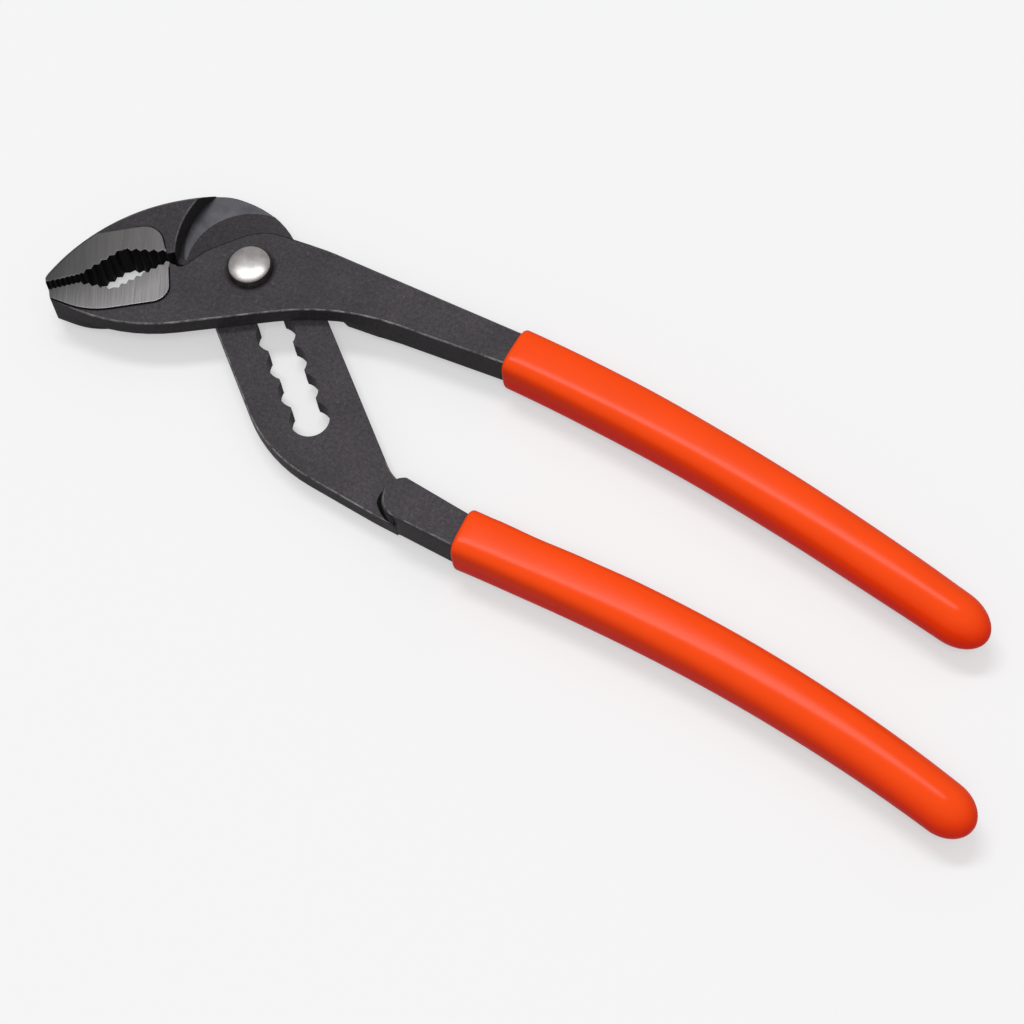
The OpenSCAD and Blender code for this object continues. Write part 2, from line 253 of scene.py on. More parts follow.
def paintFaces(piece, slotNumber, test):
    for face in piece.data.polygons:
        if test(Vector(face.center) / mm, face.normal):
            face.material_index = slotNumber


# material helpers; a noise is given as scale, detail and roughness, a ramp as places with colours or greys

def newMaterial(name):
    material = bpy.data.materials.new(name)
    material.use_nodes = True
    tree = material.node_tree
    return material, tree, tree.nodes["Principled BSDF"]


def addNode(tree, kind, **values):
    node = tree.nodes.new(kind)
    for key, value in values.items():
        setattr(node, key, value)
    return node


def objectPoints(tree, turn=0.0, scale=(1, 1, 1), shift=(0, 0, 0)):
    points = addNode(tree, "ShaderNodeTexCoord")
    mapping = addNode(tree, "ShaderNodeMapping", vector_type="TEXTURE")  # turned before it is stretched
    mapping.inputs["Location"].default_value = shift
    mapping.inputs["Rotation"].default_value = (0, 0, math.radians(turn))
    mapping.inputs["Scale"].default_value = [1 / each for each in scale]
    tree.links.new(points.outputs["Object"], mapping.inputs["Vector"])
    return mapping.outputs["Vector"]


def noise(tree, vector, scale, detail=3.0, roughness=0.55):
    node = addNode(tree, "ShaderNodeTexNoise")
    node.inputs["Scale"].default_value = scale
    node.inputs["Detail"].default_value = detail
    node.inputs["Roughness"].default_value = roughness
    tree.links.new(vector, node.inputs["Vector"])
    return node.outputs["Fac"]


def ramp(tree, value, stops):
    node = addNode(tree, "ShaderNodeValToRGB")
    band = node.color_ramp
    while len(band.elements) < len(stops):
        band.elements.new(0.5)
    for element, (place, colour) in zip(band.elements, stops):
        element.position = place
        element.color = (*colour, 1) if len(colour) == 3 else (colour[0],) * 3 + (1,)
    tree.links.new(value, node.inputs["Fac"])
    return node.outputs["Color"]


def mixColours(tree, share, first, second, kind="MIX"):
    node = addNode(tree, "ShaderNodeMix", data_type="RGBA", blend_type=kind)
    factor, a, b = node.inputs[0], node.inputs[6], node.inputs[7]
    for socket, value in ((factor, share), (a, first), (b, second)):
        if hasattr(value, "links"):
            tree.links.new(value, socket)
        else:
            socket.default_value = value
    return node.outputs[2]


def bumps(tree, shader, height, strength, distance):
    node = addNode(tree, "ShaderNodeBump")
    node.inputs["Strength"].default_value = strength
    node.inputs["Distance"].default_value = distance * mm
    tree.links.new(height, node.inputs["Height"])
    tree.links.new(node.outputs["Normal"], shader.inputs["Normal"])


# forged steel with a black phosphate finish; painted shade darkens the walls, a painted shadow rings the bolt
# head, a disc in the pocket is darker, and the steel darkens towards the jaws
blackLook = {
    "mottle": (1000, 3, 0.6),
    "colour": ((0.28, (0.046, 0.0419, 0.046)), (0.74, (0.072, 0.0657, 0.072))),
    "grain": (2500, 3),
    "roughness": ((0.25, (0.46,)), (0.75, (0.60,))),
    "grainShade": ((0.3, (0.75,)), (0.72, (1.22,))),
    "clouds": (90, 3),
    "cloudShade": ((0.3, (0.88,)), (0.7, (1.10,))),
    "specks": (1250, 1),
    "speckShade": ((0.68, (1.0,)), (0.76, (1.35,))),
    # painted shade: walls are darker than level faces
    "wallShade": ((0.35, (0.70,)), (0.8, (1.0,))),  # by how level a face is
    "jawEnd": -45,
    "shadeLength": 100,
    "specular": 0.04,
    "bump": (0.2, 0.05),
    # front rings the bolt head with a painted shadow; rear darkens a disc in the pocket; jaw and handle scale
    # the tone from the jaws to the handles
    "front": {"at": (0, 0), "radius": 6.3, "soft": 1.0, "shade": 0.36, "jaw": 0.90, "handle": 1.02},
    "rear": {"at": (-3.5, 3.0), "radius": 15.4, "soft": 0.6, "shade": 0.86, "jaw": 0.74, "handle": 1.10},
}


def roundPatch(tree, at, radius, soft, inside, outside):
    apart = addNode(tree, "ShaderNodeVectorMath", operation="LENGTH")
    step = 1000 / (2 * radius)
    tree.links.new(objectPoints(tree, 0, (step, step, 1e-6), (at[0] * mm, at[1] * mm, 0)), apart.inputs[0])
    half = soft / (4 * radius)
    return ramp(tree, apart.outputs["Value"], ((0.5 - half, inside), (0.5 + half, outside)))


def blackSteel(name, arm):
    look = blackLook
    material, tree, shader = newMaterial(name)
    points = objectPoints(tree)
    grain = noise(tree, points, *look["grain"])
    mottle = noise(tree, points, *look["mottle"])
    clouds = noise(tree, points, *look["clouds"])
    specks = noise(tree, points, *look["specks"])
    along = addNode(tree, "ShaderNodeSeparateXYZ")
    step = 1000 / look["shadeLength"]
    tree.links.new(objectPoints(tree, 0, (step, step, step), (look["jawEnd"] * mm, 0, 0)), along.inputs[0])
    facing = addNode(tree, "ShaderNodeSeparateXYZ")
    tree.links.new(addNode(tree, "ShaderNodeNewGeometry").outputs["True Normal"], facing.inputs[0])
    flat = addNode(tree, "ShaderNodeMath", operation="ABSOLUTE")
    tree.links.new(facing.outputs["Z"], flat.inputs[0])
    colour = ramp(tree, mottle, look["colour"])
    own = look[arm]
    for layer in (
        ramp(tree, flat.outputs[0], look["wallShade"]),
        ramp(tree, grain, look["grainShade"]),
        ramp(tree, clouds, look["cloudShade"]),
        ramp(tree, specks, look["speckShade"]),
        roundPatch(tree, own["at"], own["radius"], own["soft"], (own["shade"],), (1.0,)),
        ramp(tree, along.outputs["X"], ((0.0, (own["jaw"],)), (1.0, (own["handle"],)))),
    ):
        colour = mixColours(tree, 1.0, colour, layer, "MULTIPLY")
    tree.links.new(colour, shader.inputs["Base Color"])
    tree.links.new(ramp(tree, grain, look["roughness"]), shader.inputs["Roughness"])
    shader.inputs["Specular IOR Level"].default_value = look["specular"]
    bumps(tree, shader, mottle, *look["bump"])
    return material


# edges lighter than the black: bare from handling, plus a painted highlight along the rounds; strong or faint
wearSheenLook = {
    "black": (0.056, 0.052, 0.055),
    "bare": (0.21, 0.205, 0.20),
    "faint": (0.115, 0.110, 0.112),
    "patches": (420, 5, 0.65),
    "blackUpTo": 0.39,
    "bareFrom": 0.66,
    "roughness": ((0.3, (0.55,)), (0.7, (0.38,))),
    "metallic": 0.4,
    "specular": 0.15,
}


def wearSheenEdge(name, bare):
    look = wearSheenLook
    material, tree, shader = newMaterial(name)
    patches = noise(tree, objectPoints(tree), *look["patches"])
    colour = ramp(tree, patches, ((look["blackUpTo"], look["black"]), (look["bareFrom"], bare)))
    tree.links.new(colour, shader.inputs["Base Color"])
    tree.links.new(ramp(tree, patches, look["roughness"]), shader.inputs["Roughness"])
    shader.inputs["Metallic"].default_value = look["metallic"]
    shader.inputs["Specular IOR Level"].default_value = look["specular"]
    return material


# near-black painted shade: teeth walls in the jaw gap, the pads' sloped sides, the nose's foot and wall, and
# the front arm's upper edge over the pocket
shadeBlackLook = {
    "grain": (1600, 4),
    "colour": ((0.3, (0.002, 0.0019, 0.002)), (0.7, (0.0055, 0.0051, 0.0053))),
    "roughness": ((0.3, (0.42,)), (0.7, (0.58,))),
    "specular": 0.03,
    "bump": (0.2, 0.04),
}


def shadeBlackSteel():
    look = shadeBlackLook
    material, tree, shader = newMaterial("paintedShadeBlack")
    grain = noise(tree, objectPoints(tree), *look["grain"])
    tree.links.new(ramp(tree, grain, look["colour"]), shader.inputs["Base Color"])
    tree.links.new(ramp(tree, grain, look["roughness"]), shader.inputs["Roughness"])
    shader.inputs["Specular IOR Level"].default_value = look["specular"]
    bumps(tree, shader, grain, *look["bump"])
    return material


# jaw sides, ground bright across the jaw, with painted shade that darkens each pad towards one end
groundLook = {
    "turn": 114,
    "lineStretch": (90, 6200, 90),
    "lines": (1.0, 3, 0.65),
    "bandStretch": (40, 700, 40),
    "bands": (1.0, 2),
    "bandShade": ((0.3, (0.90,)), (0.7, (1.08,))),
    # painted shade: the upper pad has darker colours than the lower, and fade darkens each pad towards one
    # end
    "upper": {
        "colour": ((0.28, (0.058, 0.056, 0.057)), (0.74, (0.087, 0.084, 0.085))),
        "from": (-46.4, -20.9), "turn": 24.3, "length": 32, "fade": ((0.0, (0.42,)), (1.0, (1.15,))),
    },
    "lower": {
        "colour": ((0.28, (0.053, 0.051, 0.052)), (0.74, (0.114, 0.111, 0.113))),
        "from": (-21.1, 13.3), "turn": -32.2, "length": 15, "fade": ((0.0, (0.40,)), (1.0, (1.55,))),
    },
    "metallic": 0.9,
    "rough": 0.36,
    "bump": (0.35, 0.02),
}


def groundSteel(name, jaw):
    look = groundLook
    side = look[jaw]
    material, tree, shader = newMaterial(name)
    lines = noise(tree, objectPoints(tree, look["turn"], look["lineStretch"]), *look["lines"])
    bands = noise(tree, objectPoints(tree, look["turn"], look["bandStretch"]), *look["bands"])
    colour = ramp(tree, lines, side["colour"])
    colour = mixColours(tree, 1.0, colour, ramp(tree, bands, look["bandShade"]), "MULTIPLY")
    step = 1000 / side["length"]
    x, y = side["from"]
    parts = addNode(tree, "ShaderNodeSeparateXYZ")
    tree.links.new(objectPoints(tree, side["turn"], (step, step, step), (x * mm, y * mm, 0)), parts.inputs[0])
    colour = mixColours(tree, 1.0, colour, ramp(tree, parts.outputs["X"], side["fade"]), "MULTIPLY")
    tree.links.new(colour, shader.inputs["Base Color"])
    shader.inputs["Metallic"].default_value = look["metallic"]
    shader.inputs["Roughness"].default_value = look["rough"]
    bumps(tree, shader, lines, *look["bump"])
    return material


# crescent beside the pocket, milled and left greyer; a near-black painted shadow runs along the pocket wall's
# foot
milledLook = {
    "colour": ((0.3, (0.035, 0.035, 0.041)), (0.7, (0.066, 0.065, 0.074))),
    "foot": (0.010, 0.010, 0.010),
    "at": (-0.49, 10.26),
    "radius": 21.58,
    "soft": 0.25,
    "clouds": (260, 4),
    "grain": (1700, 3),
    "roughness": ((0.3, (0.34,)), (0.7, (0.5,))),
    "metallic": 0.55,
    "bump": (0.15, 0.03),
}


def milledSteel():
    look = milledLook
    material, tree, shader = newMaterial("milledSteel")
    points = objectPoints(tree)
    clouds = noise(tree, points, *look["clouds"])
    grain = noise(tree, points, *look["grain"])
    colour = ramp(tree, clouds, look["colour"])
    # painted shadow: outside this circle the floor turns near black along the wall's foot
    bare = roundPatch(tree, look["at"], look["radius"], look["soft"], (1.0,), (0.0,))
    tree.links.new(mixColours(tree, bare, (*look["foot"], 1), colour), shader.inputs["Base Color"])
    tree.links.new(ramp(tree, grain, look["roughness"]), shader.inputs["Roughness"])
    shader.inputs["Metallic"].default_value = look["metallic"]
    bumps(tree, shader, grain, *look["bump"])
    return material


# bright bolt head whose side is painted darker as painted shade, and the duller nut and washer behind
platedLook = {
    "clouds": (330, 4),
    "fine": (4200, 2),
    "bump": (0.06, 0.02),
    "boltZinc": {
        "colour": ((0.3, (0.205, 0.196, 0.193)), (0.7, (0.31, 0.296, 0.291))),
        "roughness": ((0.3, (0.28,)), (0.7, (0.32,))),
    },
    "boltSide": {
        "colour": ((0.3, (0.07, 0.065, 0.06)), (0.7, (0.15, 0.14, 0.13))),
        "roughness": ((0.3, (0.40,)), (0.7, (0.55,))),
    },
    "dullZinc": {
        "colour": ((0.3, (0.26, 0.26, 0.27)), (0.7, (0.36, 0.36, 0.36))),
        "roughness": ((0.3, (0.36,)), (0.7, (0.5,))),
    },
}


def platedSteel(name):
    look, own = platedLook, platedLook[name]
    material, tree, shader = newMaterial(name)
    points = objectPoints(tree)
    clouds = noise(tree, points, *look["clouds"])
    fine = noise(tree, points, *look["fine"])
    tree.links.new(ramp(tree, clouds, own["colour"]), shader.inputs["Base Color"])
    tree.links.new(ramp(tree, fine, own["roughness"]), shader.inputs["Roughness"])
    shader.inputs["Metallic"].default_value = 1.0
    bumps(tree, shader, fine, *look["bump"])
    return material


# dipped vinyl, turning deeper red lower down as painted shade
vinylLook = {
    "low": 8.5,
    "high": 14.2,
    "colour": ((0.0, (1.0, 0.016, 0.0)), (1.0, (0.90, 0.0665, 0.005))),
    "clouds": (55, 3),
    "cloudShade": ((0.3, (0.97,)), (0.7, (1.02,))),
    "peel": (900, 2),
    "roughness": ((0.3, (0.27,)), (0.7, (0.33,))),
    "bump": (0.08, 0.05),
    "specular": 0.01,
    "coat": 0.036,
    "coatRough": 0.20,
    "coatIor": 2.5,
}


def dippedVinyl():
    look = vinylLook
    material, tree, shader = newMaterial("dippedVinyl")
    points = objectPoints(tree)
    clouds = noise(tree, points, *look["clouds"])
    peel = noise(tree, points, *look["peel"])
    height = addNode(tree, "ShaderNodeSeparateXYZ")
    step = 1000 / (look["high"] - look["low"])
    tree.links.new(objectPoints(tree, 0, (step, step, step), (0, 0, look["low"] * mm)), height.inputs[0])
    colour = ramp(tree, height.outputs["Z"], look["colour"])
    colour = mixColours(tree, 1.0, colour, ramp(tree, clouds, look["cloudShade"]), "MULTIPLY")
    tree.links.new(colour, shader.inputs["Base Color"])
    tree.links.new(ramp(tree, peel, look["roughness"]), shader.inputs["Roughness"])
    shader.inputs["Specular IOR Level"].default_value = look["specular"]
    shader.inputs["Coat Weight"].default_value = look["coat"]
    shader.inputs["Coat Roughness"].default_value = look["coatRough"]
    shader.inputs["Coat IOR"].default_value = look["coatIor"]
    bumps(tree, shader, peel, *look["bump"])
    return material


blackFront = blackSteel("blackFront", "front")
blackRear = blackSteel("blackRear", "rear")
wornSheen = wearSheenEdge("rubbedSheenEdge", wearSheenLook["bare"])
faint = wearSheenEdge("faintEdge", wearSheenLook["faint"])
shadeBlack = shadeBlackSteel()
groundUpper = groundSteel("groundUpperJaw", "upper")
groundLower = groundSteel("groundLowerJaw", "lower")
milled = milledSteel()
boltMetal = platedSteel("boltZinc")
boltSide = platedSteel("boltSide")
nutMetal = platedSteel("dullZinc")
vinyl = dippedVinyl()
print("materials made")


# both jaws: the teeth's lines, and the slope round the ground sides
jawLines = {
    "lower": ((-44.2, -23.7), (-37.7, -18.9), (-29.2, -17.4), (-20.6, -5.8)),
    "upper": ((-45.8, -22.4), (-38.1, -16.6), (-32.2, -7.1), (-21.5, -3.6)),
    "reach": 1.9,
    "endX": -19,
    "slope": (0.5, 0.28),
}


def within(point, centre, radius):
    return math.hypot(point.x - centre[0], point.y - centre[1]) < radius


def besideTeeth(middle, line):
    flat = Vector((middle.x, middle.y))
    points = [Vector(point) for point in jawLines[line]]
    return min((nearestOn(flat, a, b) - flat).length for a, b in zip(points, points[1:])) < jawLines["reach"]


# front arm: lower jaw, pivot plate and upper handle's shank
frontEdges = {
    "steps": 4,
    "face": 13.1,
    "pad": 13.6,
    "gripX": 100,
    "boltRadius": 5.3,
    "heel": (-18.9, -5.8),  # the pad's foot starts here, so the edge stays square
    "heelReach": 0.8,
    "toothRound": 0.08,
    "faceRound": 0.34,
    "backRound": 0.3,
    "shadedTopSpan": (-21, 10),
    "jawTip": -43,
    "thickStart": (23.53, 4.1),
    "thickSlope": 3.0,
}


def slopeStart(piece, at, slope):
    # the shank's thick half starts with a forged slope, not a square step
    points = piece.data.vertices
    corners, moved = set(), {}
    for point in points:
        if abs(point.co.x / mm - at[0]) < edgeRoom and abs(point.co.z / mm - at[1]) < faceRoom:
            corners.add(point.index)
    for edge in piece.data.edges:
        for near, far in (tuple(edge.vertices), tuple(edge.vertices)[::-1]):
            run = points[far].co - points[near].co
            if near in corners and far not in corners and abs(run.z) < faceRoom / 2 * mm:
                moved[near] = points[near].co + run.normalized() * slope * mm
    for number, place in moved.items():
        points[number].co = place
    print("sloped corners:", len(moved))


def frontArm():
    look = frontEdges
    piece = copyOfNode("front_arm", "frontArm")
    slopeStart(piece, look["thickStart"], look["thickSlope"])
    plain, rubbedSheen, ground, shaded, slight = range(5)
    for material in (blackFront, wornSheen, groundLower, shadeBlack, faint):
        piece.data.materials.append(material)

    def widthOf(middle, convex):
        if middle.x > look["gripX"] or within(middle, (0, 0), look["boltRadius"]) or not convex:
            return 0
        if within(middle, look["heel"], look["heelReach"]):
            return 0
        if middle.z > look["pad"] - edgeRoom:
            return look["toothRound"] if besideTeeth(middle, "lower") else jawLines["slope"]
        return look["faceRound"] if middle.z > look["face"] - edgeRoom else look["backRound"]

    def edgeFinish(middle, outward, step):
        if middle.z > look["pad"] - edgeRoom:
            # the pad's sloped sides are near-black painted shade
            return ground if besideTeeth(middle, "lower") else shaded
        if middle.z < look["face"] - edgeRoom:
            return plain
        if outward.y > 0:
            # painted shadow: the upper edge over the rear arm's pocket is near black; elsewhere a faint edge
            return shaded if look["shadedTopSpan"][0] < middle.x < look["shadedTopSpan"][1] else slight
        # the lower edges show wear with a painted highlight
        return slight if middle.x < look["jawTip"] else rubbedSheen

    # teeth walls in the jaw gap are near-black painted shade
    def isTooth(centre, normal):
        return abs(normal.z) < wallLimit and centre.x < jawLines["endX"] and besideTeeth(centre, "lower")

    softenEdges(piece, widthOf, look["steps"], edgeFinish)
    paintFaces(piece, ground, lambda c, n: n.z > flatLimit and c.z > look["pad"] - faceRoom)
    paintFaces(piece, shaded, isTooth)
    smoothFaces(piece)
    return piece


# rear arm: upper jaw, slotted plate and lower handle's shank
rearEdges = {
    "steps": 4,
    "face": 13.1,
    "pad": 13.6,
    "lap": 8.1,
    "relief": 7.85,
    "gripX": 110,
    "noseX": 50,
    "nose": (62.3, -43.65),
    "noseRadius": 5.7,
    "noseEnd": (62.3, -49.05),
    "noseWall": 62,
    "wallRise": 0.5,
    "slotHalf": 6,
    "slotRun": (-6, 38),
    "pocket": (-3.5, 3),
    "pocketRadius": 15.6,
    "padShade": -33,
    "toothRound": 0.22,
    "shankSide": -42.5,
    "noseRound": 1.3,
    "noseFoot": 1.8,
    "footGrowth": 0.055,
    "plateGrowth": 0.03,
    "rubbedSheenNose": 0.3,
    "rubbedSheenStep": 2,
    "rubbedSheenPlate": 0.2,
    "jawRound": 0.3,
    "plateRound": 0.3,
    "slotRound": 0.18,
    "stepRound": 0.08,
    "smooth": 34,  # less than the jaw's back slope, which stays crisp
}


def rearArm():
    look = rearEdges
    piece = copyOfNode("rear_arm", "rearArm")
    plain, rubbedSheen, ground, bare, shaded, slight = range(6)
    for material in (blackRear, wornSheen, groundUpper, milled, shadeBlack, faint):
        piece.data.materials.append(material)

    def inSlot(middle):
        beside = abs(middle.x + middle.y) * math.sqrt(0.5)
        return beside < look["slotHalf"] and look["slotRun"][0] < middle.x < look["slotRun"][1]

    def widthOf(middle, convex):
        if middle.x > look["gripX"]:
            return 0
        room = (middle.x - look["noseEnd"][0]) ** 2 + (middle.y - look["noseEnd"][1]) ** 2
        if not convex:
            return min(look["noseFoot"], look["footGrowth"] * room) if middle.x > look["noseX"] else 0
        if middle.z > look["pad"] - edgeRoom:
            return look["toothRound"] if besideTeeth(middle, "upper") else jawLines["slope"]
        if middle.z > look["face"] - edgeRoom:
            onJaw = middle.x < look["noseX"] or middle.y > look["shankSide"]
            return look["jawRound"] if onJaw else look["noseRound"]
        if inSlot(middle):
            return look["slotRound"]
        if middle.z < look["relief"]:
            return look["plateRound"]
        if within(middle, look["pocket"], look["pocketRadius"]):
            return look["stepRound"]
        return min(look["plateRound"], look["plateGrowth"] * room)

    def edgeFinish(middle, outward, step):
        if middle.z > look["pad"] - edgeRoom:
            # the pad's sloped side is near-black painted shade beyond padShade; beside the teeth, wear with a
            # painted highlight
            side = shaded if middle.x > look["padShade"] else plain
            return rubbedSheen if besideTeeth(middle, "upper") else side
        if middle.z < look["relief"] or inSlot(middle):
            return plain
        onFace = middle.z > look["face"] - edgeRoom
        if middle.x > look["noseX"]:
            if onFace:
                # one strip of the nose's round carries a light line: wear with a painted highlight
                return rubbedSheen if outward.y < look["rubbedSheenNose"] and step == look["rubbedSheenStep"] else plain
            # the nose's foot fillet is near-black painted shade; other edges here show wear with a painted
            # highlight
            return shaded if within(middle, look["nose"], look["noseRadius"]) else rubbedSheen
        if onFace:
            return slight
        # the plate's lower edges show wear with a painted highlight
        return rubbedSheen if outward.y < look["rubbedSheenPlate"] else plain

    # teeth walls in the jaw gap are near-black painted shade
    def isTooth(centre, normal):
        return abs(normal.z) < wallLimit and centre.x < jawLines["endX"] and besideTeeth(centre, "upper")

    # the nose's wall is near-black painted shade
    def isNoseWall(centre, normal):
        behind = look["noseX"] < centre.x < look["noseWall"]
        return behind and abs(normal.z) < wallLimit and centre.z > look["lap"] + look["wallRise"]

    softenEdges(piece, widthOf, look["steps"], edgeFinish)
    paintFaces(piece, ground, lambda c, n: n.z > flatLimit and c.z > look["pad"] - faceRoom)
    paintFaces(piece, bare, lambda c, n: n.z > flatLimit and abs(c.z - look["relief"]) < faceRoom)
    paintFaces(piece, shaded, isTooth)
    paintFaces(piece, shaded, isNoseWall)
    smoothFaces(piece, look["smooth"])
    return piece


# pivot bolt: shank from the frame, head raised ring by ring
boltHead = {
    "seat": 13.1,
    "seatRoom": 0.005,
    "foot": 5.6,
    "rim": 5.2,
    "rimTop": 15.35,
    "crown": 15.9,
    "rimRound": 0.45,
    "rimSteps": 5,
    "domeSteps": 10,
    "domePower": 2.7,
    "sideLimit": 0.35,
    "smooth": 40,
}


def headRings(look):
    rise = look["crown"] - look["rimTop"]
    ball = (look["rim"] ** 2 + rise ** 2) / (2 * rise)
    tilt = math.asin(look["rim"] / ball)
    corner = Vector((look["rim"], look["rimTop"]))
    down = (Vector((look["foot"], look["seat"])) - corner).normalized()
    inward = Vector((-math.cos(tilt), math.sin(tilt)))
    half = down.angle(inward) / 2
    middle = corner + (down + inward).normalized() * look["rimRound"] / math.sin(half)
    start = corner + down * look["rimRound"] / math.tan(half) - middle
    sweep = math.pi - 2 * half
    rings = []
    for step in range(look["rimSteps"] + 1):
        turn = sweep * step / look["rimSteps"]
        side, up = math.cos(turn), math.sin(turn)
        rings.append(middle + Vector((start.x * side - start.y * up, start.x * up + start.y * side)))
    last = rings[-1]
    for step in range(1, look["domeSteps"]):
        share = 1 - step / look["domeSteps"]
        drop = (look["crown"] - last.y) * share ** look["domePower"]
        rings.append(Vector((last.x * share, look["crown"] - drop)))
    return rings


def pivotBolt():
    look = boltHead
    piece = copyOfNode("pivot_bolt", "pivotBolt", joinFlat=False)
    pick(piece)
    bpy.ops.object.mode_set(mode="EDIT")
    mesh = bmesh.from_edit_mesh(piece.data)
    bpy.ops.mesh.select_mode(type="FACE")
    bpy.ops.mesh.select_all(action="DESELECT")
    for face in mesh.faces:
        face.select = face.calc_center_median().z / mm > look["seat"] + look["seatRoom"]
    bmesh.update_edit_mesh(piece.data)
    bpy.ops.mesh.delete(type="FACE")
    bpy.ops.mesh.select_mode(type="EDGE")
    bpy.ops.mesh.select_all(action="DESELECT")
    mesh = bmesh.from_edit_mesh(piece.data)
    for edge in mesh.edges:
        edge.select = edge.is_boundary
    bmesh.update_edit_mesh(piece.data)
    at = Vector((look["foot"], look["seat"]))
    for ring in headRings(look):
        size = ring.x / at.x
        bpy.ops.mesh.extrude_edges_move(TRANSFORM_OT_translate={"value": (0, 0, (ring.y - at.y) * mm)})
        mesh = bmesh.from_edit_mesh(piece.data)
        for vertex in mesh.verts:
            if vertex.select:
                vertex.co.x *= size
                vertex.co.y *= size
        bmesh.update_edit_mesh(piece.data)
        at = ring
    bpy.ops.mesh.extrude_edges_move(TRANSFORM_OT_translate={"value": (0, 0, (look["crown"] - at.y) * mm)})
    bpy.ops.mesh.merge(type="CENTER")
    bpy.ops.mesh.select_all(action="SELECT")
    bpy.ops.mesh.normals_make_consistent(inside=False)
    bpy.ops.object.mode_set(mode="OBJECT")
    piece.data.materials.append(boltMetal)
    piece.data.materials.append(boltSide)
    # painted shade: the head's side takes the darker plated finish
    paintFaces(piece, 1, lambda c, n: n.z < look["sideLimit"])
    smoothFaces(piece, look["smooth"])
    return piece


# washer and nut behind the slotted plate
hardware = {"washerEdge": 0.15, "nutEdge": 0.3, "segments": 2, "sharp": 30}


def hardwareCopy(nodeName, pieceName, width):
    piece = copyOfNode(nodeName, pieceName)
    piece.data.materials.append(nutMetal)
    roundEdges(piece, width, hardware["segments"], hardware["sharp"])
    smoothFaces(piece)
    return piece


# dipped grips: a disc at the tang's end, extruded ring by ring to the mouth and back over the outside
upperGrip = {
    "mouth": (69.6, 3.0),
    "slope": 5.5,
    "nearBend": 500,
    "farBend": 1120,
    "length": 133.5,
    "reach": 134.2,
    "nose": 9.0,
    "topTrim": ((0, 0.1), (30, 0.0), (55, -0.2), (80, -0.05), (110, -0.1), (124, -0.25), (134, -0.35)),
    "lowTrim": ((0, 0.2), (25, 0.25), (60, 0.0), (80, 0.0), (110, 0.25), (134, 0.3)),
}
lowerGrip = {
    "mouth": (78.406, -46.506),
    "slope": 1.3,
    "nearBend": 505,
    "farBend": 380,
    "length": 137,
    "reach": 137.6,
    "nose": 8.0,
    "topTrim": (
        (0, 0.1), (6, -0.15), (18, -0.62), (30, -0.42),
        (45, -0.12), (60, -0.08), (100, -0.25), (137, -0.3),
    ),
    "lowTrim": ((0, 0.0), (20, 0.25), (60, 0.2), (95, 0.35), (137, 0.3)),
}
gripForm = {
    "middleZ": 8.6,
    "halfWidth": 6.45,
    "halfHeight": 6.3,
    "tangHalfWidth": 4.66,
    "tangHalfHeight": 4.51,
    "tangEndHalfWidth": 3.02,
    "tangStop": 9.98,
    "swell": 0.4,
    "taper": 0.35,
    "mouthIn": 0.3,
    "mouthOut": 0.05,
    "mouthFlare": 0.25,
    "mouthSoften": 0.7,
    "lip": 1.2,
    "lipSteps": 6,
    "straightSteps": 60,
    "noseSteps": 14,
    "around": 72,
    "mouthPower": 4.0,
    "endPower": 2.0,
    "tangPower": 14.0,
    "pocketSteps": 12,
    "pocketPower": 40.0,
}


def handleAt(grip, distance):
    middle = grip["length"] / 2
    x, y = grip["mouth"]
    slope = math.radians(grip["slope"])
    near, far = min(distance, middle), max(distance - middle, 0)
    for bend, run in ((grip["nearBend"], near), (grip["farBend"], far)):
        after = slope + run / bend
        x += bend * (math.sin(after) - math.sin(slope))
        y += bend * (math.cos(after) - math.cos(slope))
        slope = after
    return Vector((x, y)), Vector((math.sin(slope), math.cos(slope)))


def trimAt(stations, distance):
    for (a, first), (b, last) in zip(stations, stations[1:]):
        if distance <= b:
            share = max(0, (distance - a) / (b - a))
            return first + (last - first) * share * share * (3 - 2 * share)
    return stations[-1][1]


def gripRings(grip):
    form = gripForm
    length, nose, lip = grip["reach"], grip["nose"], form["lip"]
    tangWidth, tangHeight, flare = form["tangHalfWidth"], form["tangHalfHeight"], form["mouthFlare"]
    pocket = grip["length"] - form["tangStop"]
    narrowing = tangWidth - form["tangEndHalfWidth"]
    rings = []
    for step in range(form["pocketSteps"], 0, -1):
        share = step / form["pocketSteps"]
        rings.append((pocket * share, 0, tangWidth - narrowing * share, tangHeight, form["pocketPower"]))
    softer = form["tangPower"] * form["mouthSoften"]
    rings.append((form["mouthIn"], 0, tangWidth, tangHeight, form["tangPower"]))
    rings.append((form["mouthOut"], 0, tangWidth + flare, tangHeight + flare, softer))

    def outside(distance, inset=0.0, close=1.0):
        share = distance / length
        crown = math.sin(math.pi * share)
        power = form["mouthPower"] + (form["endPower"] - form["mouthPower"]) * share
        top, low = trimAt(grip["topTrim"], distance), trimAt(grip["lowTrim"], distance)
        width = form["halfWidth"] + form["swell"] * crown - form["taper"] * share + (top + low) / 2
        height = form["halfHeight"] + form["swell"] / 2 * crown
        rings.append((distance, (top - low) / 2, close * width - inset, close * height - inset, power))

    for step in range(form["lipSteps"] + 1):
        turn = math.pi / 2 * step / form["lipSteps"]
        outside(lip * (1 - math.cos(turn)), lip * (1 - math.sin(turn)))
    straight = length - nose - lip
    for step in range(1, form["straightSteps"] + 1):
        outside(lip + straight * step / form["straightSteps"])
    for step in range(1, form["noseSteps"]):
        turn = math.pi / 2 * step / form["noseSteps"]
        outside(length - nose + nose * math.sin(turn), 0, math.cos(turn))
    return rings


